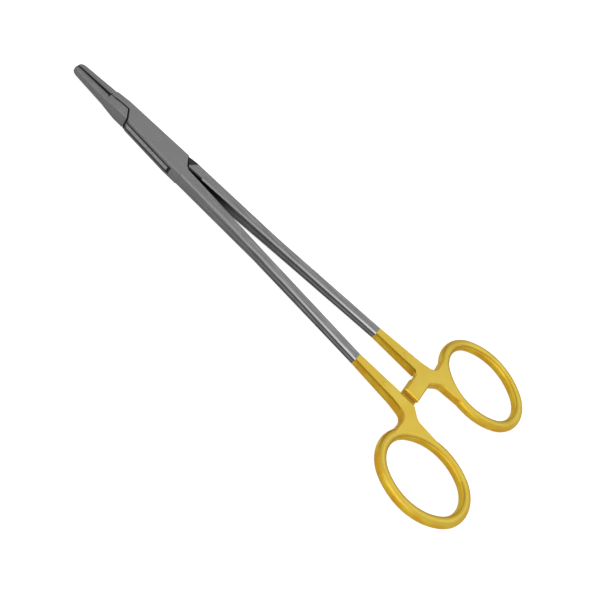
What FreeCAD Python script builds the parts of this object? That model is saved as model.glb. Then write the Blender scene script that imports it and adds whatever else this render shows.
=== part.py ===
import FreeCAD, Part
import math
import os
import Sketcher

# Surgical needle holder, 20 cm, lying flat with its jaws closed, in millimetres.
# X runs from the jaws to the finger rings, Y points to the ring of the male half, Z is up.
# Each piece is drawn about the pivot, in the middle plane of the box lock, and is then
# raised by half the lock's height, so that the underside of the lock lies at Z = 0.

os.makedirs("parts", exist_ok=True)
doc = FreeCAD.newDocument("needle_holder")
V = FreeCAD.Vector

# Driving sizes
SIZES = [
    # Places along the instrument, measured from the jaw tip, and the step's run behind the jaws
    ("pivot_from_tip", 37.5), ("nose_length", 1.9), ("jaw_length", 15.5), ("step_run", 0.7),
    ("root_from_tip", 21.0), ("waist_from_tip", 26.4), ("lock_front", 27.2), ("lock_rear", 46.0),
    ("shank_start", 52.0), ("shank_middle", 90.0), ("shank_slim", 138.0), ("neck_from_tip", 157.0),
    # Jaws and box lock: widths to either side of the bite line, heights, and rounded long edges
    ("nose_female", 2.7), ("nose_male", 2.0), ("nose_height", 3.0), ("jaw_edge", 0.8),
    ("heel_female", 3.6), ("heel_male", 3.0), ("heel_height", 3.8),
    ("step_female", 3.95), ("step_male", 3.1), ("step_height", 4.0),
    ("root_female", 3.85), ("root_male", 3.25), ("root_height", 5.4),
    ("waist_female", 3.95), ("waist_male", 3.3),
    ("front_female", 3.95), ("front_male", 3.65), ("lock_height", 5.6), ("lock_edge", 0.6),
    ("rear_female", 4.55), ("rear_male", 4.95), ("tail_female", 4.7), ("tail_male", 5.0),
    # Slot, tenon and the seams between the two halves
    ("slot_height", 2.4), ("slot_radius", 11.1), ("tenon_side_gap", 0.12), ("tenon_end_gap", 0.5),
    ("seam_gap", 0.35), ("seam_offset", 0.6), ("front_shoulder", 14.2), ("rear_shoulder", 14.0),
    ("shoulder_run", 3.4), ("shoulder_drop", 5.1),
    # Relief behind the male half's rear shoulder: where it starts, its turn, slope and depth
    ("relief_land", 0.2), ("relief_offset", 0.9), ("relief_turn", 56.0), ("relief_slope", 11.0),
    ("relief_depth", 0.9),
    # Pivot pin
    ("pin_radius", 1.25), ("pin_clearance", 0.03),
    # Shanks, from the middle line of the instrument to the inner and the outer edge
    ("start_inner", 0.25), ("start_outer", 4.85), ("start_height", 5.5),
    ("middle_inner", 2.8), ("middle_outer", 6.25), ("middle_height", 4.3),
    ("slim_inner", 5.85), ("slim_outer", 9.65), ("slim_height", 3.4),
    ("neck_inner", 5.9), ("neck_outer", 11.2), ("shank_bevel", 0.5),
    # Finger rings: an oval of round wire
    ("ring_from_tip", 180.6), ("ring_offset", 25.35), ("ring_long", 17.43), ("ring_short", 13.59),
    ("ring_end_radius", 11.6),
    ("ring_wire", 4.1), ("ring_tilt", 4.6), ("web_set_in", 0.2), ("web_drop", 0.04),
    # Web between shank, ring and ratchet arm
    ("corner_from_tip", 163.7), ("corner_offset", 12.6), ("web_lap", 3.5), ("web_foot", 6.3),
    ("throat_offset", 9.9), ("throat_run", 3.6), ("web_corner_radius", 3.0), ("web_throat_radius", 4.0),
    ("gusset", 1.4),
    # Ratchet
    ("arm_from_tip", 158.2), ("arm_width", 6.3), ("arm_reach", 3.6), ("arm_root", 9.0),
    ("arm_gap", 0.1), ("arm_end_land", 0.3),
    ("tooth_pitch", 1.4), ("tooth_height", 0.5), ("tooth_count", 4), ("tooth_lean", 0.85),
    # Jaw inserts
    ("insert_thickness", 1.0), ("insert_set_back", 0.5), ("insert_end_gap", 0.3),
    ("bite_gap_tip", 0.06), ("bite_gap_heel", 0.42),
    ("serration_pitch", 0.7), ("serration_depth", 0.2),
]
sizes = doc.addObject("Spreadsheet::Sheet", "sizes")
for row, (alias, number) in enumerate(SIZES, start=1):
    sizes.set(f"A{row}", alias)
    sizes.set(f"B{row}", str(number))
    sizes.setAlias(f"B{row}", alias)
doc.recompute()

# A sketch's own X and Y lie along Y and Z of the instrument when it is turned like this
ACROSS = FreeCAD.Rotation(V(1, 1, 1), 120)
# Long enough to pass through every piece
THROUGH = 40
# Two places closer than this are the same
CLOSE = 0.01


def worth(text):
    """The number that an expression on the sheet gives."""
    return float(sizes.evalExpression(text))


def along(place):
    """A place measured from the jaw tip, as an X on the instrument."""
    return f"(sizes.{place} - sizes.pivot_from_tip)"


def polygon(name, corners):
    """A closed outline of straight lines whose corners are expressions on the sheet."""
    sketch = doc.addObject("Sketcher::SketchObject", name)
    points = [V(worth(a), worth(b), 0) for a, b in corners]
    count = len(points)
    for i in range(count):
        sketch.addGeometry(Part.LineSegment(points[i], points[(i + 1) % count]), False)
    for i in range(count):
        sketch.addConstraint(Sketcher.Constraint("Coincident", i, 2, (i + 1) % count, 1))
    for i, corner in enumerate(corners):
        for kind, start, text in zip(("DistanceX", "DistanceY"), points[i], corner):
            number = sketch.addConstraint(Sketcher.Constraint(kind, -1, 1, i, 1, start))
            sketch.setExpression(f"Constraints[{number}]", text)
    return sketch


def prism(name, corners, height=str(THROUGH)):
    """An outline seen from above, given a height about the middle plane."""
    body = doc.addObject("Part::Extrusion", name)
    body.Base = polygon(name + "_outline", corners)
    body.DirMode = "Normal"
    body.setExpression("LengthFwd", height)
    body.Symmetric = True
    body.Solid = True
    return body


def section(name, place, left, right, height, radius):
    """A rounded rectangle across the instrument at a place from the tip."""
    x0, x1, z, r = worth(left), worth(right), worth(height) / 2, worth(radius)
    sketch = doc.addObject("Sketcher::SketchObject", name)
    sketch.Placement = FreeCAD.Placement(V(0, 0, 0), ACROSS)
    sketch.setExpression(".Placement.Base.x", place)
    lines = [(V(x0 + r, -z, 0), V(x1 - r, -z, 0)), (V(x1, r - z, 0), V(x1, z - r, 0)),
             (V(x1 - r, z, 0), V(x0 + r, z, 0)), (V(x0, z - r, 0), V(x0, r - z, 0))]
    centres = [V(x1 - r, r - z, 0), V(x1 - r, z - r, 0), V(x0 + r, z - r, 0), V(x0 + r, r - z, 0)]
    for i in range(4):
        sketch.addGeometry(Part.LineSegment(*lines[i]), False)
        corner = Part.Circle(centres[i], V(0, 0, 1), r)
        turn = (i - 1) * math.pi / 2
        sketch.addGeometry(Part.ArcOfCircle(corner, turn, turn + math.pi / 2), False)
    for i in range(4):
        sketch.addConstraint(Sketcher.Constraint("Tangent", 2 * i, 2, 2 * i + 1, 1))
        sketch.addConstraint(Sketcher.Constraint("Tangent", 2 * i + 1, 2, (2 * i + 2) % 8, 1))
    sketch.addConstraint(Sketcher.Constraint("Horizontal", 0))
    for arc in (3, 5, 7):
        sketch.addConstraint(Sketcher.Constraint("Equal", 1, arc))
    drive(sketch, Sketcher.Constraint("Radius", 1, r), radius)
    drive(sketch, Sketcher.Constraint("DistanceX", -1, 1, 2, 1, x1), right)
    drive(sketch, Sketcher.Constraint("DistanceX", -1, 1, 6, 1, x0), left)
    drive(sketch, Sketcher.Constraint("DistanceY", -1, 1, 0, 1, -z), f"-({height}) / 2")
    drive(sketch, Sketcher.Constraint("DistanceY", -1, 1, 4, 1, z), f"({height}) / 2")
    return sketch


def drive(sketch, constraint, text):
    """Adds a constraint whose value follows an expression."""
    number = sketch.addConstraint(constraint)
    sketch.setExpression(f"Constraints[{number}]", text)


def bevelled_section(name, place, left, right, height, bevel):
    """A rectangle with its corners cut off, across the instrument at a place from the tip."""
    low, high = f"-({height}) / 2", f"({height}) / 2"
    sketch = polygon(name, [
        (f"{left} + {bevel}", low), (f"{right} - {bevel}", low), (right, f"{low} + {bevel}"),
        (right, f"{high} - {bevel}"), (f"{right} - {bevel}", high), (f"{left} + {bevel}", high),
        (left, f"{high} - {bevel}"), (left, f"{low} + {bevel}")])
    sketch.Placement = FreeCAD.Placement(V(0, 0, 0), ACROSS)
    sketch.setExpression(".Placement.Base.x", place)
    return sketch


def loft(name, sections, ruled):
    body = doc.addObject("Part::Loft", name)
    body.Sections = sections
    body.Solid = True
    body.Ruled = ruled
    return body


def combined(kind, name, pieces):
    """A fusion, an intersection or, of two pieces, the first less the second."""
    body = doc.addObject(kind, name)
    if kind == "Part::Cut":
        body.Base, body.Tool = pieces
    else:
        body.Shapes = pieces
    return body


def rod(name, radius, height):
    """A cylinder on the pivot axis, about the middle plane."""
    body = doc.addObject("Part::Cylinder", name)
    body.setExpression("Radius", radius)
    body.setExpression("Height", height)
    body.setExpression(".Placement.Base.z", f"-({height}) / 2")
    return body


HEEL = along("jaw_length")


def forged_blank(name):
    """The forging of jaws and lock before it is split: round nose, tapered jaws, flat lock."""
    # The nose is an ellipse in plan and from the side, drawn in four steps
    steps = [(0.0, 0.42), (0.12, 0.68), (0.42, 0.88), (1.0, 1.0)]
    sections = []
    for i, (run, share) in enumerate(steps):
        sections.append(section(
            f"{name}_nose{i}", f"{run} * sizes.nose_length - sizes.pivot_from_tip",
            f"-{share} * sizes.nose_male", f"{share} * sizes.nose_female",
            f"{share} * sizes.nose_height", f"{share} * sizes.jaw_edge"))
    for part, place, height, edge in (
            ("heel", HEEL, "heel_height", "jaw_edge"),
            ("step", f"({HEEL} + sizes.step_run)", "step_height", "jaw_edge"),
            ("root", along("root_from_tip"), "root_height", "lock_edge"),
            ("waist", along("waist_from_tip"), "lock_height", "lock_edge"),
            ("front", along("lock_front"), "lock_height", "lock_edge"),
            ("rear", along("lock_rear"), "lock_height", "lock_edge"),
            ("tail", along("shank_start"), "start_height", "lock_edge")):
        sections.append(section(f"{name}_{part}", place, f"-sizes.{part}_male",
                                f"sizes.{part}_female", f"sizes.{height}", f"sizes.{edge}"))
    return loft(name, sections, True)


# Grounds of the two halves, as seen from above
OUTSIDE = "(2 * sizes.rear_male)"
BEYOND_TIP = "-(sizes.pivot_from_tip + sizes.nose_length)"
BEHIND = along("shank_middle")
SLOPE = "(sizes.shoulder_run / sizes.shoulder_drop)"
ALONG_SHOULDER = f"sqrt(1 + {SLOPE}^2)"


def front_ground(name, gap):
    """The male half's side of the seam ahead of the lock, less a gap in the seam."""
    back = f"sizes.front_shoulder + {gap} * {ALONG_SHOULDER}"
    return prism(name, [
        (HEEL, f"-{OUTSIDE}"), (HEEL, f"sizes.seam_offset - {gap}"),
        (f"-({back}) + {gap} * {SLOPE}", f"sizes.seam_offset - {gap}"),
        (f"-({back}) + sizes.shoulder_run", "sizes.seam_offset - sizes.shoulder_drop"),
        (f"-({back}) + sizes.shoulder_run", f"-{OUTSIDE}")])


def rear_ground(name, gap):
    """The male half's side of the seam behind the lock, less a gap in the seam."""
    back = f"sizes.rear_shoulder + {gap} * {ALONG_SHOULDER}"
    inner = f"sizes.start_inner - sizes.seam_gap + {gap}"
    return prism(name, [
        (f"{back} - {gap} * {SLOPE}", inner),
        (f"{back} - sizes.shoulder_run", f"sizes.start_inner - sizes.seam_gap + sizes.shoulder_drop"),
        (f"{back} - sizes.shoulder_run", OUTSIDE), (BEHIND, OUTSIDE), (BEHIND, inner)])


def lock_core(name, radius, height, gap):
    """The slot through the lock, or the tenon that turns in it when a gap is given."""
    return combined("Part::MultiFuse", name, [
        rod(name + "_middle", radius, height),
        prism(name + "_front", [
            (HEEL, f"-{OUTSIDE}"), ("0", f"-{OUTSIDE}"),
            ("0", f"sizes.seam_offset - {gap}"), (HEEL, f"sizes.seam_offset - {gap}")], height),
        prism(name + "_rear", [
            ("0", f"sizes.start_inner - sizes.seam_gap + {gap}"),
            (BEHIND, f"sizes.start_inner - sizes.seam_gap + {gap}"),
            (BEHIND, OUTSIDE), ("0", OUTSIDE)], height)])


def turned_over(body):
    """Turns a piece half a turn about the long axis, from one half to the other."""
    body.Placement = FreeCAD.Placement(V(0, 0, 0), FreeCAD.Rotation(V(1, 0, 0), 180))
    return body


# Forged blank of jaws and lock, which both halves are cut from, and the same blank turned over,
# from which the male half's jaw is cut in the female half's place
blank = forged_blank("blank")
turned_blank = doc.addObject("Part::Compound", "turned_blank")
turned_blank.Links = [blank]
turned_over(turned_blank)

# Bite line: the jaws meet at the tip first, so it opens by a slim angle towards the heel
BITE_ANGLE = ("atan((sizes.bite_gap_heel - sizes.bite_gap_tip) / 2"
              " / (sizes.jaw_length + sizes.nose_length))")


def on_bite_line(body, drop):
    """Lays a piece along the bite line of the female jaw."""
    body.Placement = FreeCAD.Placement(V(0, 0, 0), FreeCAD.Rotation(V(0, 0, 1), 1))
    body.setExpression(".Placement.Base.x", BEYOND_TIP)
    body.setExpression(".Placement.Base.y", f"sizes.bite_gap_tip / 2 - {drop}")
    body.setExpression(".Placement.Rotation.Angle", BITE_ANGLE)


jaw_side = prism("jaw_side", [
    (BEYOND_TIP, "sizes.bite_gap_tip / 2"), (HEEL, "sizes.bite_gap_heel / 2"),
    (HEEL, OUTSIDE), (BEYOND_TIP, OUTSIDE)])
seat_cut = doc.addObject("Part::Extrusion", "seat_cut")
seat_cut.Base = polygon("seat_outline", [
    ("sizes.nose_length + sizes.insert_set_back", "-sizes.insert_thickness"),
    ("2 * sizes.jaw_length", "-sizes.insert_thickness"),
    ("2 * sizes.jaw_length", "sizes.insert_thickness"),
    ("sizes.nose_length + sizes.insert_set_back", "sizes.insert_thickness")])
seat_cut.DirMode = "Normal"
seat_cut.LengthFwd = THROUGH
seat_cut.Symmetric = True
seat_cut.Solid = True
on_bite_line(seat_cut, "0")


def jaw(name, forging):
    """A jaw in the female half's place, with the step that its insert is brazed into."""
    half = combined("Part::MultiCommon", name + "_half", [forging, jaw_side])
    return combined("Part::Cut", name, [half, seat_cut])


# Carbide insert: a plate along the bite line, with two sets of grooves that cross on its face
plate = doc.addObject("PartDesign::Body", "insert_plate")
PLATE_END = "(sizes.nose_length + sizes.jaw_length - sizes.insert_end_gap)"
PLATE_START = "(sizes.nose_length + sizes.insert_set_back)"
# The plate is drawn taller than the jaw and trimmed to the jaw's own surface later
PLATE_HEIGHT = "sizes.root_height"


def attached(body, name, role, corners):
    """A straight-sided outline on one of a body's own planes."""
    sketch = polygon(name, corners)
    body.addObject(sketch)
    plane = next(f for f in body.Origin.OriginFeatures if f.Role == role)
    sketch.AttachmentSupport = [(plane, "")]
    sketch.MapMode = "FlatFace"
    return sketch


def feature(body, kind, name, sketch, length):
    made = body.newObject(kind, name)
    made.Profile = sketch
    made.Midplane = True
    made.setExpression("Length", length)
    return made


def pattern(body, name, original, direction, length, count):
    """Repeats a groove along one of the body's own axes."""
    row_of = body.newObject("PartDesign::LinearPattern", name)
    row_of.Originals = [original]
    axis = next(f for f in body.Origin.OriginFeatures if f.Role == direction)
    row_of.Direction = (axis, [""])
    row_of.setExpression("Length", length)
    row_of.setExpression("Occurrences", count)
    body.Tip = row_of
    return row_of


feature(plate, "PartDesign::Pad", "plate_pad", attached(plate, "plate_outline", "XY_Plane", [
    (PLATE_START, "0"), (PLATE_END, "0"),
    (PLATE_END, "sizes.insert_thickness"), (PLATE_START, "sizes.insert_thickness")]), PLATE_HEIGHT)
doc.recompute()
plain_volume = plate.Shape.Volume
FIRST = f"({PLATE_START} + sizes.serration_pitch / 2)"
cross = feature(plate, "PartDesign::Pocket", "cross_groove", attached(
    plate, "cross_outline", "XY_Plane", [
        (f"{FIRST} - sizes.serration_depth", "0"), (FIRST, "sizes.serration_depth"),
        (f"{FIRST} + sizes.serration_depth", "0"), (FIRST, "-sizes.serration_depth")]), PLATE_HEIGHT)
COUNT = f"floor(({PLATE_END} - {PLATE_START}) / sizes.serration_pitch)"
pattern(plate, "cross_grooves", cross, "X_Axis", f"({COUNT} - 1) * sizes.serration_pitch", COUNT)
doc.recompute()
cross_volume = plate.Shape.Volume
ROWS = f"floor({PLATE_HEIGHT} / sizes.serration_pitch)"
LOWEST = f"(-({ROWS} - 1) * sizes.serration_pitch / 2)"
lengthways = feature(plate, "PartDesign::Pocket", "long_groove", attached(
    plate, "long_outline", "YZ_Plane", [
        ("0", f"{LOWEST} - sizes.serration_depth"), ("sizes.serration_depth", LOWEST),
        ("0", f"{LOWEST} + sizes.serration_depth"), ("-sizes.serration_depth", LOWEST)]),
    f"3 * {PLATE_END}")
pattern(plate, "long_grooves", lengthways, "Z_Axis", f"({ROWS} - 1) * sizes.serration_pitch", ROWS)
doc.recompute()
if not plain_volume > cross_volume > plate.Shape.Volume:
    raise RuntimeError("the serrations cut nothing")
on_bite_line(plate, "0")

# Handle of the male half: shank, web, ratchet arm and finger ring
# The web lies just under the crest of the ring's wire, and the shank rises to meet it
WEB_HEIGHT = "(sizes.ring_wire - 2 * sizes.web_drop)"
shank_places = [
    ("start", "shank_start", "sizes.start_height"), ("middle", "shank_middle", "sizes.middle_height"),
    ("slim", "shank_slim", "sizes.slim_height"), ("neck", "neck_from_tip", WEB_HEIGHT)]
shank = loft("shank", [
    bevelled_section(f"shank_{part}", along(place), f"sizes.{part}_inner", f"sizes.{part}_outer",
                     height, "sizes.shank_bevel") for part, place, height in shank_places], True)

ARM_FRONT = along("arm_from_tip")
ARM_BACK = f"({ARM_FRONT} + sizes.arm_width)"
RING_X = along("ring_from_tip")
CORNER = (along("corner_from_tip"), "sizes.corner_offset")
THROAT = (f"{ARM_BACK} + sizes.throat_run", "sizes.throat_offset")
# The web's two outer edges sink into the ring's wire near its crest, at its side and at its end
SIDE_LANDING = (RING_X, "sizes.ring_offset - sizes.ring_short - sizes.ring_wire / 5")
END_LANDING = (f"{RING_X} - sizes.ring_long", "sizes.ring_offset - sizes.ring_short / 3")
# The shank's inner edge, a little before the shank ends in the web
INNER_AT_LAP = ("(sizes.neck_inner - (sizes.neck_inner - sizes.slim_inner) * sizes.web_lap"
                " / (sizes.neck_from_tip - sizes.shank_slim))")
web_prism = prism("web_prism", [
    (f"{along('neck_from_tip')} - 2 * sizes.web_lap", "(sizes.neck_inner + sizes.neck_outer) / 2"),
    (f"{along('neck_from_tip')} - sizes.web_lap", INNER_AT_LAP), (ARM_FRONT, "sizes.neck_inner"),
    (ARM_FRONT, "sizes.web_foot"), (ARM_BACK, "sizes.web_foot"), THROAT,
    SIDE_LANDING,
    (RING_X, "sizes.ring_offset - sizes.ring_short / 2"),
    (f"{RING_X} - sizes.ring_long / 2", "sizes.ring_offset"),
    END_LANDING, CORNER, (along("neck_from_tip"), "sizes.neck_outer")], WEB_HEIGHT)


def upright_at(corner):
    """A test for the upright edge over one corner of an outline."""
    x, y = worth(corner[0]), worth(corner[1])

    def test(edge):
        foot, head = edge.Vertexes[0].Point, edge.Vertexes[-1].Point
        return abs(foot.z - head.z) > 1 and math.hypot(foot.x - x, foot.y - y) < CLOSE
    return test


def edged(kind, name, body, tests):
    """Rounds or bevels edges; each test picks its own, with its own size."""
    doc.recompute()
    picked = []
    for test, size in tests:
        found = [i for i, edge in enumerate(body.Shape.Edges, start=1) if test(edge)]
        if not found:
            raise RuntimeError(f"{name} finds no edge")
        picked += [(i, worth(size), worth(size)) for i in found]
    made = doc.addObject(kind, name)
    made.Base = body
    made.Edges = picked
    return made


def on_rim(edge):
    """The edges of the web's two flat faces, apart from those inside the shank."""
    box = edge.BoundBox
    flat = box.ZLength < CLOSE and abs(abs(box.ZMin) - worth(f"{WEB_HEIGHT} / 2")) < CLOSE
    inside_shank = box.XMin < worth(f"{along('neck_from_tip')} - sizes.web_lap") - CLOSE
    return flat and not inside_shank


web_round = edged("Part::Fillet", "web_round", web_prism, [
    (upright_at(CORNER), "sizes.web_corner_radius"), (upright_at(THROAT), "sizes.web_throat_radius")])

# The ring is an oval of four arcs: two small ones at its ends and two large ones along its sides
END_REACH = "(sizes.ring_long - sizes.ring_end_radius)"
SIDE_RADIUS = (f"(({END_REACH}^2 + sizes.ring_short^2 - sizes.ring_end_radius^2)"
               " / (2 * (sizes.ring_short - sizes.ring_end_radius)))")
SIDE_REACH = f"({SIDE_RADIUS} - sizes.ring_short)"
# Direction from the centre of a side arc to the joint with an end arc
JOINT = f"atan({SIDE_REACH} / {END_REACH})"


def at_ring(body):
    """Moves a piece to the ring's centre and leans it as the ring leans."""
    body.Placement = FreeCAD.Placement(V(0, 0, 0), FreeCAD.Rotation(V(0, 0, -1), 1))
    body.setExpression(".Placement.Base.x", RING_X)
    body.setExpression(".Placement.Base.y", "sizes.ring_offset")
    body.setExpression(".Placement.Rotation.Angle", "sizes.ring_tilt")
    return body


def wire_arc(name, turn, span, radius, reach):
    """A bent length of the ring's round wire, centred on one of the oval's two axes."""
    arc = doc.addObject("Part::Torus", name)
    arc.Placement = FreeCAD.Placement(V(0, 0, 0), FreeCAD.Rotation(V(0, 0, 1), turn))
    arc.setExpression("Radius1", radius)
    arc.setExpression("Radius2", "sizes.ring_wire / 2")
    arc.setExpression("Angle3", f"2 * {span}")
    arc.setExpression(".Placement.Rotation.Angle", f"{turn} deg - {span}")
    axis = "x" if turn % 180 == 0 else "y"
    sign = 1 if turn < 180 else -1
    arc.setExpression(f".Placement.Base.{axis}", f"{sign} * {reach}")
    return arc


wire = combined("Part::MultiFuse", "wire", [
    wire_arc("end_arc_far", 0, JOINT, "sizes.ring_end_radius", END_REACH),
    wire_arc("side_arc_out", 90, f"(90 deg - {JOINT})", SIDE_RADIUS, f"(-{SIDE_REACH})"),
    wire_arc("end_arc_near", 180, JOINT, "sizes.ring_end_radius", END_REACH),
    wire_arc("side_arc_in", 270, f"(90 deg - {JOINT})", SIDE_RADIUS, f"(-{SIDE_REACH})")])
ring = at_ring(wire)

hole_line = doc.addObject("Part::Ellipse", "hole_line")
hole_line.setExpression("MajorRadius", "sizes.ring_long - sizes.web_set_in")
hole_line.setExpression("MinorRadius", "sizes.ring_short - sizes.web_set_in")
hole = doc.addObject("Part::Extrusion", "ring_hole")
hole.Base = hole_line
hole.DirMode = "Normal"
hole.LengthFwd = THROUGH
hole.Symmetric = True
hole.Solid = True
at_ring(hole)

# Ratchet arm: saw teeth on the face that meets the other half's arm
TIP_LEVEL = "(sizes.arm_gap / 2)"
ROOT_LEVEL = "(sizes.arm_gap / 2 + sizes.tooth_height)"
FIRST_TOOTH = "-sizes.arm_reach + sizes.arm_end_land"
saw = [("-sizes.arm_reach", ROOT_LEVEL)]
for i in range(int(worth("sizes.tooth_count"))):
    saw.append((f"{FIRST_TOOTH} + {i} * sizes.tooth_pitch", ROOT_LEVEL))
    saw.append((f"{FIRST_TOOTH} + ({i} + sizes.tooth_lean) * sizes.tooth_pitch", TIP_LEVEL))
saw.append((f"{FIRST_TOOTH} + sizes.tooth_count * sizes.tooth_pitch", ROOT_LEVEL))
arm_outline = polygon("arm_outline", saw + [
    ("sizes.arm_root", ROOT_LEVEL), ("sizes.arm_root", f"{WEB_HEIGHT} / 2"),
    ("-sizes.arm_reach", f"{WEB_HEIGHT} / 2")])
arm_outline.Placement = FreeCAD.Placement(V(0, 0, 0), ACROSS)
arm_outline.setExpression(".Placement.Base.x", ARM_FRONT)
arm = doc.addObject("Part::Extrusion", "arm")
arm.Base = arm_outline
arm.DirMode = "Normal"
arm.setExpression("LengthFwd", "sizes.arm_width")
arm.Solid = True

# A straight gusset, as thick as the arm, in the corner between the arm and the shank
gusset = prism("gusset", [
    (f"{ARM_FRONT} - sizes.gusset", "sizes.web_foot"), (f"{ARM_FRONT} - sizes.gusset", "sizes.neck_inner"),
    (ARM_FRONT, "sizes.neck_inner - sizes.gusset"),
    (f"{ARM_FRONT} + sizes.gusset", "sizes.neck_inner - sizes.gusset"),
    (f"{ARM_FRONT} + sizes.gusset", "sizes.web_foot")], f"{WEB_HEIGHT} / 2 - {ROOT_LEVEL}")
gusset.setExpression(".Placement.Base.z", f"({WEB_HEIGHT} / 2 + {ROOT_LEVEL}) / 2")

web_and_arm = combined("Part::MultiFuse", "web_and_arm", [web_round, arm, gusset])
web_and_arm.Refine = True
web_bevelled = edged("Part::Chamfer", "web_bevelled", web_and_arm, [(on_rim, "sizes.shank_bevel")])
web = combined("Part::Cut", "web", [web_bevelled, hole])

# Slot and grounds that the female half gives up, and tenon and grounds that the male half keeps
NO_GAP = "0"
SEAM_GAP = "sizes.seam_gap"
TENON_HEIGHT = "(sizes.slot_height - 2 * sizes.tenon_side_gap)"
TENON_RADIUS = "(sizes.slot_radius - sizes.tenon_end_gap)"
everything_ahead = prism("everything_ahead", [
    (BEYOND_TIP, f"-{OUTSIDE}"), (HEEL, f"-{OUTSIDE}"), (HEEL, OUTSIDE), (BEYOND_TIP, OUTSIDE)])
given_up = combined("Part::MultiFuse", "given_up", [
    everything_ahead, front_ground("front_given", NO_GAP), rear_ground("rear_given", NO_GAP),
    lock_core("slot", "sizes.slot_radius", "sizes.slot_height", NO_GAP)])
kept = combined("Part::MultiFuse", "kept", [
    front_ground("front_kept", SEAM_GAP), rear_ground("rear_kept", SEAM_GAP),
    lock_core("tenon", TENON_RADIUS, TENON_HEIGHT, SEAM_GAP)])
box = combined("Part::Cut", "box", [blank, given_up])
tongue = combined("Part::MultiCommon", "tongue", [blank, kept])


def bored(name, forging, bore):
    """A half under its own name, bored for the pin and raised so that the lock rests at Z = 0."""
    body = combined("Part::Cut", name, [forging, bore])
    body.setExpression(".Placement.Base.z", "sizes.lock_height / 2")
    body.Label = name
    return body


# Relief that slopes down to the rear shoulder, so that the male half's shank clears it when open
SHOULDER_TOP = "(sizes.start_height / 2)"
RELIEF_FLOOR = f"({SHOULDER_TOP} - sizes.relief_depth)"
relief = doc.addObject("Part::Extrusion", "relief")
relief.Base = polygon("relief_outline", [
    ("0", SHOULDER_TOP), ("sizes.relief_depth / tan(sizes.relief_slope * 1 deg)", RELIEF_FLOOR),
    (OUTSIDE, RELIEF_FLOOR), (OUTSIDE, "sizes.lock_height"), ("0", "sizes.lock_height")])
relief.Base.Placement = FreeCAD.Placement(V(0, 0, 0), ACROSS)
relief.DirMode = "Normal"
relief.LengthFwd = THROUGH
relief.Symmetric = True
relief.Solid = True
relief.Placement = FreeCAD.Placement(V(0, 0, 0), FreeCAD.Rotation(V(0, 0, 1), 1))
relief.setExpression(".Placement.Rotation.Angle", "sizes.relief_turn")
relief.setExpression(".Placement.Base.x", "sizes.rear_shoulder + sizes.relief_land")
relief.setExpression(".Placement.Base.y", "sizes.start_inner + sizes.relief_offset")
relief_below = doc.addObject("Part::Mirroring", "relief_below")
relief_below.Source = relief
relief_below.Normal = V(0, 0, 1)

male_jaw = turned_over(jaw("male_jaw", turned_blank))
male_forging = combined("Part::MultiFuse", "male_forging", [male_jaw, tongue, shank, web, ring])
male_relieved = combined("Part::Cut", "male_relieved", [male_forging, combined(
    "Part::MultiFuse", "reliefs", [relief, relief_below])])
male_half = bored("male_half", male_relieved, rod(
    "running_bore", "sizes.pin_radius + sizes.pin_clearance", "2 * sizes.lock_height"))

female_handle = turned_over(combined("Part::MultiFuse", "female_handle", [shank, web, ring]))
female_forging = combined("Part::MultiFuse", "female_forging", [
    jaw("female_jaw", blank), box, female_handle])
female_half = bored("female_half", female_forging, rod(
    "pressed_bore", "sizes.pin_radius", "2 * sizes.lock_height"))

pivot_pin = doc.addObject("Part::Cylinder", "pivot_pin")
pivot_pin.Label = "pivot_pin"
pivot_pin.setExpression("Radius", "sizes.pin_radius")
pivot_pin.setExpression("Height", "sizes.lock_height")

female_insert = combined("Part::MultiCommon", "female_insert", [blank, plate])
male_insert = turned_over(combined("Part::MultiCommon", "male_insert", [turned_blank, plate]))
for body in (female_insert, male_insert):
    body.setExpression(".Placement.Base.z", "sizes.lock_height / 2")

doc.recompute()
for item in doc.Objects:
    if "Invalid" in item.State or "Error" in item.State:
        raise RuntimeError(f"{item.Name} did not compute: {item.State}")
pieces = [female_half, male_half, pivot_pin, female_insert, male_insert]
for piece in pieces:
    if piece.Shape.isNull() or not piece.Shape.isValid() or len(piece.Shape.Solids) != 1:
        raise RuntimeError(f"{piece.Name} is not one valid solid")
for piece in pieces:
    piece.Shape.exportStep(f"parts/{piece.Label}.step")
    print(piece.Label, round(piece.Shape.Volume, 2), "cubic mm")
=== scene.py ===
import math
from types import SimpleNamespace

import bmesh
import bpy
from mathutils import Matrix, Vector

MM = 0.001

# The photograph's view: a long lens from above and in front, turned about its own axis.
LENS_MM = 60.0
SENSOR_MM = 36.0
VIEW_TARGET = Vector((73.258, -6.046, 2.8)) * MM
VIEW_DISTANCE = 342.324 * MM
VIEW_AZIMUTH = math.radians(-2.38)
VIEW_ELEVATION = math.radians(47.594)
VIEW_ROLL = math.radians(45.58)
NEAREST_SEEN = 0.01
FARTHEST_SEEN = 10.0

# The white room. The key lamp is over the camera, and a weaker one stands behind the
# instrument.
KEY_LAMP = {"azimuth": 0, "elevation": 50, "distance": 0.9, "width": 0.55, "power": 1.7}
BACK_LAMP = {"azimuth": 150, "elevation": 62, "distance": 1.0, "width": 0.6, "power": 1.2}
SKY_LIGHT = 0.55
FLOOR_HALF_WIDTH = 2.0
FLOOR_DROP = 0.05 * MM

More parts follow.
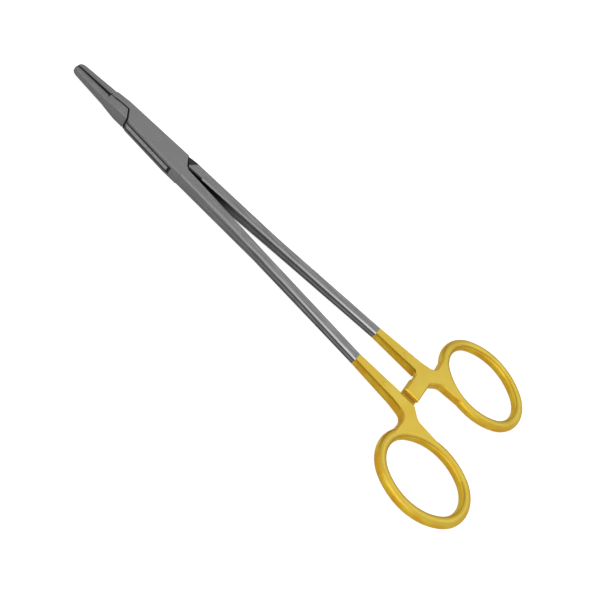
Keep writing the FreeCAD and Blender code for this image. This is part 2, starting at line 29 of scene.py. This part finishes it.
# Places on the instrument. X and Y are measured from the pivot, and heights from the middle
# plane.
MIDDLE_HEIGHT = 2.8 * MM
SHOULDER_DIRECTION = Vector((0.832, 0.555, 0))
FRONT_SEAM = Vector((-14.2, 0.43, 0)) * MM
REAR_SEAM = Vector((14.0, 0.08, 0)) * MM
SLOT_HALF_HEIGHT = 1.2 * MM
SLOT_LINES_MIDDLE = -0.4 * MM
SLOT_REAR_END = 10.25 * MM
CROTCH = 20.0 * MM
SHANK_ROOT_HALF_HEIGHT = 2.979 * MM
SHANK_SLOPE = 0.0158
# The painted reflection of a dark room along the shanks' sides
SIDE_REFLECTION_HEIGHT = 0.85 * MM
SIDE_REFLECTION_BEGINS, SIDE_REFLECTION_FULL = 16 * MM, 70 * MM
STREAKS_BEGIN, STREAKS_FULL = 14 * MM, 60 * MM
# Where the painted highlight on the steel's bevels begins
BEVEL_HIGHLIGHT_BEGINS = 30 * MM
# The plating starts at the same distance from the jaw tips on both handles.
PLATING_START = 100.8 * MM
PLATING_EDGE = 0.12 * MM
RATCHET_MIDDLE = 123.85 * MM
# The middle of each ring's hole, and the oval that the middle of its wire follows
RING_CENTRE = Vector((143.1, 25.35)) * MM
RING_HALF_SIZE = Vector((17.43, 13.59)) * MM
PIN_INSIDE, PIN_OUTSIDE = 1.6 * MM, 1.8 * MM
EDGE_ROUNDING = 0.18 * MM
# How much farther to each side the painted shade on the bite line reaches for each metre along
# it
BITE_WIDENING = 0.018

# How far each mark reaches, in millimetres: it is full up to the first distance and has
# faded away at the second.
SEAM_WIDTH = (0.26, 0.38)
SEAM_LENGTH = (20.0, 21.0)
SLOT_LINE_WIDTH = (0.36, 0.5)
SLOT_LINE_LENGTH = (11.0, 11.2)
SLOT_END_WIDTH = (0.3, 0.5)
SLOT_END_HEIGHT = (1.3, 1.5)
RELIEF_START = (-0.3, -0.1)
RELIEF_LENGTH = (20.0, 20.5)
RELIEF_TOP = (-0.12, -0.05)
CROTCH_LENGTH = (8.0, 20.0)
CROTCH_WIDTH = (0.9, 2.3)
TENON_HEIGHT = (1.3, 1.8)
TENON_LENGTH = (10.5, 11.0)
JAW_LENGTH = (-24.0, -17.0)
SIDE_REFLECTION_WIDTH = (0.2, 0.45)
SIDE_REFLECTION_LENGTH = (116.0, 122.0)
NECK_LENGTH = (122.0, 127.0)
ARM_LENGTH = (4.8, 5.8)
RATCHET_LENGTH = (3.3, 3.6)
RATCHET_HEIGHT = (1.1, 1.3)
RATCHET_WIDTH = (6.5, 8.0)
BITE_WIDTH = (0.98, 1.12)

# How level a surface is: 1 where it lies flat and 0 where it stands upright. Of a pair, the
# first is where a finish is full and the second where it has faded away.
UPRIGHT = (0.3, 0.6)
ROUNDED = (0.5, 0.97)
BEVEL_SLOPE = 0.7
OFF_BEVEL_SLOPE = (0.1, 0.2)
CREASE_SLOPE, CREASE_SPREAD = 0.78, 0.07
# The crease lies on the wire's inner half. 1 is the oval that the middle of the wire follows.
CREASE_REACH = (0.96, 0.99)

# What part of each pattern's values makes the step from one look to the other
TEXTURE_STEP = (0.25, 0.75)
PATCH_STEP = (0.3, 0.7)
SPECK_STEP = (0.42, 0.6)

# The black of the painted shade in and behind the box lock and along the jaws' bite line
PAINTED_SHADE_BLACK = "#181818"
# The darker gold of the painted shade on the necks' bevels and in the rings' creases
PAINTED_SHADE_GOLD = "#7C6010"


def linear(hex_colour):
    """An sRGB hex value as the linear colour that a shader socket takes."""
    parts = [int(hex_colour[i : i + 2], 16) / 255 for i in (1, 3, 5)]
    curve = [p / 12.92 if p <= 0.04045 else ((p + 0.055) / 1.055) ** 2.4 for p in parts]
    return (*curve, 1.0)


def per_metre(millimetres):
    """The Noise Texture scale whose lumps are this far apart."""
    return 1 / (millimetres * MM)


def add(tree, kind, inputs=(), **settings):
    """A new node. inputs maps a socket to its value, or to what feeds it.

    What feeds it is an output, or a node, which stands for its first output in use.
    """
    node = tree.nodes.new(kind)
    for name, value in settings.items():
        setattr(node, name, value)
    for socket, value in dict(inputs).items():
        if isinstance(value, bpy.types.Node):
            value = next(output for output in value.outputs if output.enabled)
        if isinstance(value, bpy.types.NodeSocket):
            tree.links.new(value, node.inputs[socket])
        else:
            node.inputs[socket].default_value = value
    return node


def empty_material(name):
    """A material with nothing in its node tree."""
    material = bpy.data.materials.new(name)
    material.use_nodes = True
    material.node_tree.nodes.clear()
    return material


def surface_measures(tree):
    """Where a point of the surface lies on the instrument, and how level the surface is."""
    place = add(tree, "ShaderNodeTexCoord").outputs["Object"]
    along, across, height = add(tree, "ShaderNodeSeparateXYZ", {0: place}).outputs
    normal = add(tree, "ShaderNodeNewGeometry").outputs["Normal"]
    facing = add(tree, "ShaderNodeSeparateXYZ", {0: normal}).outputs["Z"]
    level = add(tree, "ShaderNodeMath", {0: facing}, operation="ABSOLUTE")
    return SimpleNamespace(
        place=place,
        along=along,
        across=across,
        height=height,
        from_bite_line=add(tree, "ShaderNodeMath", {0: across}, operation="ABSOLUTE"),
        level=level,
        upright=add(
            tree,
            "ShaderNodeMapRange",
            {
                "Value": level,
                "From Min": UPRIGHT[0],
                "From Max": UPRIGHT[1],
                "To Min": 1.0,
                "To Max": 0.0,
            },
        ),
    )


def region(tree, *limits):
    """The part of the surface inside all the limits, as a mask from 0 to 1.

    A limit is another mask, or a distance with how far the region reaches along it.
    """
    whole = None
    for limit in limits:
        if isinstance(limit, tuple):
            distance, (full, gone) = limit
            limit = add(
                tree,
                "ShaderNodeMapRange",
                {
                    "Value": distance,
                    "From Min": full * MM,
                    "From Max": gone * MM,
                    "To Min": 1.0,
                    "To Max": 0.0,
                },
                interpolation_type="SMOOTHSTEP",
            )
        if whole is None:
            whole = limit
        else:
            whole = add(tree, "ShaderNodeMath", {0: whole, 1: limit}, operation="MULTIPLY")
    return whole


def laid_over(tree, colour, *layers):
    """A colour under layers of others. Each has its mask, its strength and its hex value."""
    for mask, strength, tint in layers:
        share = add(tree, "ShaderNodeMath", {0: mask, 1: strength}, operation="MULTIPLY")
        colour = add(
            tree, "ShaderNodeMix", {0: share, 6: colour, 7: linear(tint)}, data_type="RGBA"
        )
    return colour


def past_shoulder(tree, on, seam, side):
    """The distance past a seam that runs along the instrument and turns at its shoulder.

    side is 1 for the front seam, which is passed towards +X and +Y, and -1 for the rear one.
    """
    to_shoulder = add(
        tree,
        "ShaderNodeVectorMath",
        {0: on.place, 1: SHOULDER_DIRECTION * side},
        operation="DOT_PRODUCT",
    )
    past_turn = add(
        tree,
        "ShaderNodeMath",
        {0: to_shoulder, 1: seam.dot(SHOULDER_DIRECTION) * side},
        operation="SUBTRACT",
    )
    past_line = add(
        tree,
        "ShaderNodeMath",
        {0: on.across, 1: side, 2: -seam.y * side},
        operation="MULTIPLY_ADD",
    )
    return add(tree, "ShaderNodeMath", {0: past_line, 1: past_turn}, operation="MAXIMUM")


def lock_painted_shade(tree, on):
    """Painted shade: the seams, slot, relief and gap start in and behind the box lock, as a
    mask.
    """
    past_front = past_shoulder(tree, on, FRONT_SEAM, 1)
    past_rear = past_shoulder(tree, on, REAR_SEAM, -1)
    to_front = add(tree, "ShaderNodeMath", {0: past_front}, operation="ABSOLUTE")
    to_rear = add(tree, "ShaderNodeMath", {0: past_rear}, operation="ABSOLUTE")
    to_seam = add(tree, "ShaderNodeMath", {0: to_front, 1: to_rear}, operation="MINIMUM")
    seams = region(tree, (to_seam, SEAM_WIDTH), (on.from_pivot, SEAM_LENGTH))

    # The slot shows on both sides of the lock as two lines of painted shade at the tenon's
    # upper and lower face. In front they run on to the seam at the shoulder.
    over_slot = add(
        tree, "ShaderNodeMath", {0: on.from_middle, 1: SLOT_HALF_HEIGHT}, operation="SUBTRACT"
    )
    to_slot_face = add(tree, "ShaderNodeMath", {0: over_slot}, operation="ABSOLUTE")
    along_slot = add(
        tree, "ShaderNodeMath", {0: on.along, 1: SLOT_LINES_MIDDLE}, operation="SUBTRACT"
    )
    from_slot_middle = add(tree, "ShaderNodeMath", {0: along_slot}, operation="ABSOLUTE")
    slot_lines = region(
        tree,
        (to_slot_face, SLOT_LINE_WIDTH),
        (from_slot_middle, SLOT_LINE_LENGTH),
        on.upright,
    )

    # The slot's rear end shows as a dark spot of painted shade on each side.
    past_slot = add(
        tree, "ShaderNodeMath", {0: on.along, 1: SLOT_REAR_END}, operation="SUBTRACT"
    )
    to_slot_end = add(tree, "ShaderNodeMath", {0: past_slot}, operation="ABSOLUTE")
    slot_end = region(
        tree, (to_slot_end, SLOT_END_WIDTH), (on.from_middle, SLOT_END_HEIGHT), on.upright
    )

    # The relief behind the rear shoulder lies below the flat of the shank, which slopes down
    # from the lock, and is painted dark as shade.
    over_root = add(
        tree,
        "ShaderNodeMath",
        {0: on.from_middle, 1: SHANK_ROOT_HALF_HEIGHT},
        operation="SUBTRACT",
    )
    over_flat = add(
        tree,
        "ShaderNodeMath",
        {0: on.along, 1: SHANK_SLOPE, 2: over_root},
        operation="MULTIPLY_ADD",
    )
    lying = add(tree, "ShaderNodeMath", {0: 1.0, 1: on.upright}, operation="SUBTRACT")
    relief = region(
        tree,
        (past_rear, RELIEF_START),
        (on.along, RELIEF_LENGTH),
        (over_flat, RELIEF_TOP),
        lying,
    )

    # Painted shade also darkens the narrow start of the gap between the shanks.
    past_crotch = add(tree, "ShaderNodeMath", {0: on.along, 1: CROTCH}, operation="SUBTRACT")
    to_crotch = add(tree, "ShaderNodeMath", {0: past_crotch}, operation="ABSOLUTE")
    crotch = region(
        tree, (to_crotch, CROTCH_LENGTH), (on.from_bite_line, CROTCH_WIDTH), on.upright
    )

    painted_shade = seams
    for mark in (slot_lines, slot_end, relief, crotch):
        painted_shade = add(tree, "ShaderNodeMath", {0: painted_shade, 1: mark}, operation="MAXIMUM")
    return painted_shade


def painted_ring_crease(tree, on):
    """A painted line of shade on the inner half of each finger ring's wire, at one slope."""
    oval_x = add(
        tree,
        "ShaderNodeMath",
        {0: on.along, 1: 1 / RING_HALF_SIZE.x, 2: -RING_CENTRE.x / RING_HALF_SIZE.x},
        operation="MULTIPLY_ADD",
    )
    oval_y = add(
        tree,
        "ShaderNodeMath",
        {0: on.from_bite_line, 1: 1 / RING_HALF_SIZE.y, 2: -RING_CENTRE.y / RING_HALF_SIZE.y},
        operation="MULTIPLY_ADD",
    )
    in_oval = add(tree, "ShaderNodeCombineXYZ", {"X": oval_x, "Y": oval_y})
    reach = add(tree, "ShaderNodeVectorMath", {0: in_oval}, operation="LENGTH")
    inside = add(
        tree,
        "ShaderNodeMapRange",
        {
            "Value": reach,
            "From Min": CREASE_REACH[0],
            "From Max": CREASE_REACH[1],
            "To Min": 1.0,
            "To Max": 0.0,
        },
    )
    line = add(
        tree,
        "ShaderNodeMath",
        {0: on.level, 1: CREASE_SLOPE, 2: CREASE_SPREAD},
        operation="COMPARE",
    )
    return region(tree, inside, line)


def ground_and_blasted(tree, on):
    """The relief of the steel: streaks along the shanks, and an even grain over them."""
    # The beads' dents are about 0.1 mm apart, drawn at 0.4 mm so that they show.
    grain = add(
        tree,
        "ShaderNodeTexNoise",
        {"Vector": on.place, "Scale": per_metre(0.4), "Detail": 3.0, "Roughness": 0.6},
    )
    # The grinding streaks are 0.5 mm apart and about 9 mm long. The lock is ground finer.
    drawn_out = add(
        tree, "ShaderNodeMapping", {"Vector": on.place, "Scale": (0.055, 1.0, 1.0)}
    )
    streaks = add(
        tree,
        "ShaderNodeTexNoise",
        {"Vector": drawn_out, "Scale": per_metre(0.5), "Detail": 2.0},
    )
    depth = add(
        tree,
        "ShaderNodeMapRange",
        {
            "Value": on.along,
            "From Min": STREAKS_BEGIN,
            "From Max": STREAKS_FULL,
            "To Min": 0.25,
            "To Max": 2.6,
        },
    )
    up_and_down = add(tree, "ShaderNodeMath", {0: streaks, 1: 0.5}, operation="SUBTRACT")
    return add(
        tree, "ShaderNodeMath", {0: up_and_down, 1: depth, 2: grain}, operation="MULTIPLY_ADD"
    )


def paint_side_reflection(tree, on):
    """The dark strips along the shanks' sides, painted as the reflection of a dark room.

    They are darkest towards the slim end of the shanks, and end at the web.
    """
    over_strip = add(
        tree, "ShaderNodeMath", {0: on.from_middle, 1: SIDE_REFLECTION_HEIGHT}, operation="SUBTRACT"
    )
    to_strip = add(tree, "ShaderNodeMath", {0: over_strip}, operation="ABSOLUTE")
    grown = add(
        tree,
        "ShaderNodeMapRange",
        {"Value": on.along, "From Min": SIDE_REFLECTION_BEGINS, "From Max": SIDE_REFLECTION_FULL},
    )
    return region(tree, (to_strip, SIDE_REFLECTION_WIDTH), (on.along, SIDE_REFLECTION_LENGTH), on.upright, grown)


def bevelled_edges(tree, on):
    """The bevelled edges along the shanks, which slope at about 45 degrees."""
    steeper = add(
        tree, "ShaderNodeMath", {0: on.level, 1: BEVEL_SLOPE}, operation="SUBTRACT"
    )
    off_slope = add(tree, "ShaderNodeMath", {0: steeper}, operation="ABSOLUTE")
    return add(
        tree,
        "ShaderNodeMapRange",
        {
            "Value": off_slope,
            "From Min": OFF_BEVEL_SLOPE[0],
            "From Max": OFF_BEVEL_SLOPE[1],
            "To Min": 1.0,
            "To Max": 0.0,
        },
    )


def steel_colour(tree, on, texture, side_reflection, bevels):
    """Satin grey with marks of filing and brazing, and painted reflections and highlights."""
    shade = add(
        tree,
        "ShaderNodeMapRange",
        {"Value": texture, "From Min": TEXTURE_STEP[0], "From Max": TEXTURE_STEP[1]},
    )
    steel = add(tree, "ShaderNodeValToRGB", {"Fac": shade})
    steel.color_ramp.elements[0].color = linear("#6A6A6A")
    steel.color_ramp.elements[1].color = linear("#868686")

    # The tenon's side is left as it was filed, with dark specks about 0.7 mm apart. The jaws
    # have such specks too, from the flux of the brazing.
    dirt = add(
        tree,
        "ShaderNodeTexNoise",
        {"Vector": on.place, "Scale": per_metre(0.7), "Detail": 3.0, "Roughness": 0.7},
    )
    speckled = add(
        tree,
        "ShaderNodeMapRange",
        {"Value": dirt, "From Min": SPECK_STEP[0], "From Max": SPECK_STEP[1]},
    )
    tenon = region(
        tree, (on.from_middle, TENON_HEIGHT), (on.from_pivot, TENON_LENGTH), on.upright
    )
    jaws = region(tree, (on.along, JAW_LENGTH))
    specks_on_tenon = region(tree, speckled, tenon)
    specks_on_jaws = region(tree, speckled, jaws)
    thinner = add(tree, "ShaderNodeMath", {0: specks_on_jaws, 1: 0.5}, operation="MULTIPLY")
    specks = add(
        tree, "ShaderNodeMath", {0: specks_on_tenon, 1: thinner}, operation="MAXIMUM"
    )

    # A painted highlight along the bevels of the steel, the brighter the nearer the grip.
    towards_grip = add(
        tree,
        "ShaderNodeMapRange",
        {"Value": on.along, "From Min": BEVEL_HIGHLIGHT_BEGINS, "From Max": PLATING_START},
    )
    bevel_highlight = region(tree, bevels, towards_grip, towards_grip)
    # The bevels get a painted highlight.
    return laid_over(
        tree,
        steel,
        (tenon, 1.0, "#A6A6A6"),
        (specks, 0.4, "#3C3C3C"),
        # dark side strips painted as a reflection
        (side_reflection, 0.75, "#343434"),
        (bevel_highlight, 1.0, "#ACACAC"),
    )


def gold_colour(tree, on, patches, side_reflection, bevels):
    """Gold, paler on the flats, with a deeper, brighter gold painted on rounds and sides as
    light.
    """
    shade = add(
        tree,
        "ShaderNodeMapRange",
        {"Value": patches, "From Min": PATCH_STEP[0], "From Max": PATCH_STEP[1]},
    )
    flat_gold = add(
        tree,
        "ShaderNodeMix",
        {0: shade, 6: linear("#B89C3A"), 7: linear("#C4AD4A")},
        data_type="RGBA",
    )
    # The bath leaves warmer clouds on the rounds, a few millimetres across.
    clouds = add(
        tree,
        "ShaderNodeTexNoise",
        {"Vector": on.place, "Scale": per_metre(5.0), "Detail": 2.0},
    )
    painted_light_round_gold = add(tree, "ShaderNodeValToRGB", {"Fac": clouds})
    warm, pale = painted_light_round_gold.color_ramp.elements
    warm.position, warm.color = 0.36, linear("#CC9A26")
    pale.position, pale.color = 0.64, linear("#D2B434")
    rounded = add(
        tree,
        "ShaderNodeMapRange",
        {
            "Value": on.level,
            "From Min": ROUNDED[0],
            "From Max": ROUNDED[1],
            "To Min": 1.0,
            "To Max": 0.0,
        },
    )
    # The rounds and sides take the brighter gold as painted light.
    gold = add(
        tree, "ShaderNodeMix", {0: rounded, 6: flat_gold, 7: painted_light_round_gold}, data_type="RGBA"
    )

    # The necks' bevels, and faintly the dark side strips, are painted a duller gold as shade.
    arms = region(tree, (on.from_bite_line, ARM_LENGTH))
    off_arms = add(tree, "ShaderNodeMath", {0: 1.0, 1: arms}, operation="SUBTRACT")
    faint_side_reflection = add(tree, "ShaderNodeMath", {0: side_reflection, 1: 0.15}, operation="MULTIPLY")
    neck_bevel_shade = add(tree, "ShaderNodeMath", {0: bevels, 1: faint_side_reflection}, operation="MAXIMUM")
    return laid_over(
        tree,
        gold,
        # the rings' creases painted as shade
        (painted_ring_crease(tree, on), 0.45, PAINTED_SHADE_GOLD),
        (region(tree, (on.along, NECK_LENGTH), off_arms, neck_bevel_shade), 1.0, PAINTED_SHADE_GOLD),
    )


def rounded_edges(tree, on):
    """A normal that rounds the edges a little, as blasting does.

    The pin is ground off together with the lock, so the rim of its hole stays sharp.
    """
    seen_from_above = add(
        tree, "ShaderNodeVectorMath", {0: on.place, 1: (1, 1, 0)}, operation="MULTIPLY"
    )
    from_axis = add(tree, "ShaderNodeVectorMath", {0: seen_from_above}, operation="LENGTH")
    radius = add(
        tree,
        "ShaderNodeMapRange",
        {
            "Value": from_axis,
            "From Min": PIN_INSIDE,
            "From Max": PIN_OUTSIDE,
            "To Max": EDGE_ROUNDING,
        },
    )
    return add(tree, "ShaderNodeBevel", {"Radius": radius}, samples=6)


def plated_steel():
    """Stainless steel, ground and then blasted to a satin grey, with a gold-plated grip.

    The plating is thin and follows the steel, but it is smoother, so it is the brighter and
    glossier of the two. It ends in a crisp line across each shank.
    """
    material = empty_material("satin_steel_with_gold_plated_grip")
    tree = material.node_tree
    on = surface_measures(tree)
    over_middle = add(
        tree, "ShaderNodeMath", {0: on.height, 1: MIDDLE_HEIGHT}, operation="SUBTRACT"
    )
    on.from_middle = add(tree, "ShaderNodeMath", {0: over_middle}, operation="ABSOLUTE")
    on.from_pivot = add(tree, "ShaderNodeMath", {0: on.along}, operation="ABSOLUTE")
    texture = ground_and_blasted(tree, on)
    side_reflection = paint_side_reflection(tree, on)
    bevels = bevelled_edges(tree, on)

    # Handling and washing leave soft patches in the gold, about a centimetre across.
    patches = add(
        tree,
        "ShaderNodeTexNoise",
        {"Vector": on.place, "Scale": per_metre(11.0), "Detail": 1.0},
    )
    # The masking before plating gives an edge that wanders by a few hundredths of a millimetre.
    wander = add(tree, "ShaderNodeTexNoise", {"Vector": on.place, "Scale": per_metre(0.8)})
    wandering = add(
        tree,
        "ShaderNodeMath",
        {0: wander, 1: PLATING_EDGE, 2: on.along},
        operation="MULTIPLY_ADD",
    )
    plated = add(
        tree,
        "ShaderNodeMapRange",
        {
            "Value": wandering,
            "From Min": PLATING_START,
            "From Max": PLATING_START + PLATING_EDGE,
        },
    )
    steel = steel_colour(tree, on, texture, side_reflection, bevels)
    gold = gold_colour(tree, on, patches, side_reflection, bevels)
    steel_and_gold = add(tree, "ShaderNodeMix", {0: plated, 6: steel, 7: gold}, data_type="RGBA")

    # Painted light: a lighter, less metallic gold lifts the shade between the ratchet arms.
    past_ratchet = add(
        tree, "ShaderNodeMath", {0: on.along, 1: RATCHET_MIDDLE}, operation="SUBTRACT"
    )
    to_ratchet = add(tree, "ShaderNodeMath", {0: past_ratchet}, operation="ABSOLUTE")
    ratchet_painted_light = region(
        tree,
        (to_ratchet, RATCHET_LENGTH),
        (on.from_middle, RATCHET_HEIGHT),
        (on.from_bite_line, RATCHET_WIDTH),
    )
    # The lock's seams and recesses are painted black as shade.
    colour = laid_over(
        tree,
        steel_and_gold,
        (lock_painted_shade(tree, on), 0.9, PAINTED_SHADE_BLACK),
        (ratchet_painted_light, 1.0, "#E6C24A"),
    )
    metallic = add(
        tree, "ShaderNodeMath", {0: ratchet_painted_light, 1: -0.8, 2: 1.0}, operation="MULTIPLY_ADD"
    )

    steel_roughness = add(
        tree,
        "ShaderNodeMapRange",
        {
            "Value": texture,
            "From Min": TEXTURE_STEP[0],
            "From Max": TEXTURE_STEP[1],
            "To Min": 0.42,
            "To Max": 0.52,
        },
    )
    gold_roughness = add(
        tree,
        "ShaderNodeMapRange",
        {
            "Value": patches,
            "From Min": PATCH_STEP[0],
            "From Max": PATCH_STEP[1],
            "To Min": 0.4,
            "To Max": 0.47,
        },
    )
    roughness = add(
        tree, "ShaderNodeMix", {0: plated, 2: steel_roughness, 3: gold_roughness}
    )
    dent_strength = add(
        tree, "ShaderNodeMapRange", {"Value": plated, "To Min": 0.35, "To Max": 0.12}
    )
    dents = add(
        tree,
        "ShaderNodeBump",
        {
            "Strength": dent_strength,
            "Distance": 0.02 * MM,
            "Height": texture,
            "Normal": rounded_edges(tree, on),
        },
    )
    shader = add(
        tree,
        "ShaderNodeBsdfPrincipled",
        {"Base Color": colour, "Metallic": metallic, "Roughness": roughness, "Normal": dents},
    )
    add(tree, "ShaderNodeOutputMaterial", {"Surface": shader})
    return material


def pin_steel():
    """Stainless bar, turned and ground off flush with the lock, so it matches the steel."""
    material = empty_material("turned_steel_pin")
    tree = material.node_tree
    place = add(tree, "ShaderNodeTexCoord").outputs["Object"]
    # The turning marks are far too fine to show, and are drawn 0.3 mm apart. The wave has
    # 20 rings to one of its own units.
    rings = add(
        tree,
        "ShaderNodeTexWave",
        {"Vector": place, "Scale": per_metre(0.3) / 20, "Distortion": 0.4},
        wave_type="RINGS",
        rings_direction="Z",
    ).outputs["Fac"]
    colour = add(tree, "ShaderNodeValToRGB", {"Fac": rings})
    colour.color_ramp.elements[0].color = linear("#757575")
    colour.color_ramp.elements[1].color = linear("#7D7D7D")
    dents = add(
        tree, "ShaderNodeBump", {"Strength": 0.2, "Distance": 0.01 * MM, "Height": rings}
    )
    shader = add(
        tree,
        "ShaderNodeBsdfPrincipled",
        {"Base Color": colour, "Metallic": 1.0, "Roughness": 0.46, "Normal": dents},
    )
    add(tree, "ShaderNodeOutputMaterial", {"Surface": shader})
    return material


def insert_carbide():
    """Tungsten carbide, pressed and sintered, with ground grooves: a darker, duller grey."""
    material = empty_material("sintered_tungsten_carbide")
    tree = material.node_tree
    on = surface_measures(tree)
    # The sintered grains are microns across, and are drawn 0.25 mm across.
    grains = add(
        tree,
        "ShaderNodeTexNoise",
        {"Vector": on.place, "Scale": per_metre(0.25), "Detail": 2.0},
    )
    carbide = add(tree, "ShaderNodeValToRGB", {"Fac": grains})
    dark, light = carbide.color_ramp.elements
    dark.position, dark.color = 0.35, linear("#666666")
    light.position, light.color = 0.65, linear("#767676")

    # Painted shade lies along the line where the jaws bite, wider towards the heel as the gap
    # is, with a fainter trace of it on the grooves of the bite faces.
    narrowed = add(
        tree,
        "ShaderNodeMath",
        {0: on.along, 1: -BITE_WIDENING, 2: on.from_bite_line},
        operation="MULTIPLY_ADD",
    )
    strength = add(
        tree, "ShaderNodeMath", {0: on.upright, 1: -0.6, 2: 0.9}, operation="MULTIPLY_ADD"
    )
    bite_shaded = laid_over(
        tree,
        carbide,
        (region(tree, (narrowed, BITE_WIDTH), strength), 1.0, PAINTED_SHADE_BLACK),
    )
    dents = add(
        tree, "ShaderNodeBump", {"Strength": 0.25, "Distance": 0.02 * MM, "Height": grains}
    )
    shader = add(
        tree,
        "ShaderNodeBsdfPrincipled",
        {"Base Color": bite_shaded, "Metallic": 1.0, "Roughness": 0.48, "Normal": dents},
    )
    add(tree, "ShaderNodeOutputMaterial", {"Surface": shader})
    return material


def seen_directly(tree, camera_share, mirror_share):
    """How strongly a ray sees the plain white background, by the kind of ray."""
    path = add(tree, "ShaderNodeLightPath")
    mirrored = add(
        tree,
        "ShaderNodeMath",
        {0: path.outputs["Is Glossy Ray"], 1: path.outputs["Is Transmission Ray"]},
        operation="MAXIMUM",
    )
    weighed = add(tree, "ShaderNodeMath", {0: mirrored, 1: mirror_share}, operation="MULTIPLY")
    return add(
        tree,
        "ShaderNodeMath",
        {0: path.outputs["Is Camera Ray"], 1: camera_share, 2: weighed},
        operation="MULTIPLY_ADD",
    )


def white_world():
    """Even light from all round, and plain white to the camera and in reflections."""
    world = bpy.data.worlds.new("white_room")
    world.use_nodes = True
    tree = world.node_tree
    tree.nodes.clear()
    shown = seen_directly(tree, camera_share=1.0, mirror_share=1.0)
    strength = add(
        tree, "ShaderNodeMapRange", {"Value": shown, "To Min": SKY_LIGHT, "To Max": 1.0}
    )
    sky = add(
        tree, "ShaderNodeBackground", {"Color": linear("#FFFFFF"), "Strength": strength}
    )
    add(tree, "ShaderNodeOutputWorld", {"Surface": sky})
    bpy.context.scene.world = world


def white_floor():
    """A wide sheet of matt white paper just under the instrument."""
    shape = bmesh.new()
    bmesh.ops.create_grid(shape, x_segments=1, y_segments=1, size=FLOOR_HALF_WIDTH)
    bmesh.ops.translate(
        shape, verts=shape.verts, vec=(VIEW_TARGET.x, VIEW_TARGET.y, -FLOOR_DROP)
    )
    mesh = bpy.data.meshes.new("floor")
    shape.to_mesh(mesh)
    shape.free()
    floor = bpy.data.objects.new("floor", mesh)
    bpy.context.scene.collection.objects.link(floor)

    material = empty_material("matt_white_paper")
    tree = material.node_tree
    paper = add(
        tree,
        "ShaderNodeBsdfPrincipled",
        {
            "Base Color": linear("#E8E8E8"),
            "Roughness": 0.9,
            "Specular IOR Level": 0.0,
            "Emission Color": linear("#FFFFFF"),
            "Emission Strength": seen_directly(tree, camera_share=0.75, mirror_share=0.25),
        },
    )
    add(tree, "ShaderNodeOutputMaterial", {"Surface": paper})
    mesh.materials.append(material)


def softbox(name, azimuth, elevation, distance, width, power):
    """A square lamp that looks at the instrument from an azimuth and elevation in degrees."""
    lamp = bpy.data.lights.new(name, "AREA")
    lamp.shape = "SQUARE"
    lamp.size = width
    lamp.energy = power
    holder = bpy.data.objects.new(name, lamp)
    turned = Matrix.Rotation(math.radians(azimuth), 4, "Z") @ Matrix.Rotation(
        math.radians(90 - elevation), 4, "X"
    )
    holder.matrix_world = (
        Matrix.Translation(VIEW_TARGET) @ turned @ Matrix.Translation((0, 0, distance))
    )
    bpy.context.scene.collection.objects.link(holder)


def photograph_camera():
    """The camera where the photograph was taken from."""
    data = bpy.data.cameras.new("camera")
    data.lens = LENS_MM
    data.sensor_width = SENSOR_MM
    data.clip_start = NEAREST_SEEN
    data.clip_end = FARTHEST_SEEN
    camera = bpy.data.objects.new("camera", data)
    turned = (
        Matrix.Rotation(VIEW_AZIMUTH, 4, "Z")
        @ Matrix.Rotation(math.pi / 2 - VIEW_ELEVATION, 4, "X")
        @ Matrix.Rotation(VIEW_ROLL, 4, "Z")
    )
    camera.matrix_world = (
        Matrix.Translation(VIEW_TARGET) @ turned @ Matrix.Translation((0, 0, VIEW_DISTANCE))
    )
    bpy.context.scene.collection.objects.link(camera)
    bpy.context.scene.camera = camera


def dress(material, *nodes):
    """Gives CAD nodes their material."""
    for node in nodes:
        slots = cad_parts[node].data.materials
        slots.clear()
        slots.append(material)


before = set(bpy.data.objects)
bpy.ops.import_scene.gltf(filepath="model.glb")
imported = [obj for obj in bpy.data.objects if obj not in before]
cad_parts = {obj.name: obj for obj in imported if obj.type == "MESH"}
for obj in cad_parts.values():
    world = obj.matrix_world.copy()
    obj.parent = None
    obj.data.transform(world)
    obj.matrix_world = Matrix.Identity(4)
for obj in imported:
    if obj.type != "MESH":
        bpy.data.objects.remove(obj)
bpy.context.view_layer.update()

bpy.context.scene.view_settings.view_transform = "Standard"
photograph_camera()
white_world()
white_floor()
softbox("softbox_key", **KEY_LAMP)
softbox("softbox_back", **BACK_LAMP)

dress(plated_steel(), "female_half", "male_half")
dress(pin_steel(), "pivot_pin")
dress(insert_carbide(), "female_insert", "male_insert")
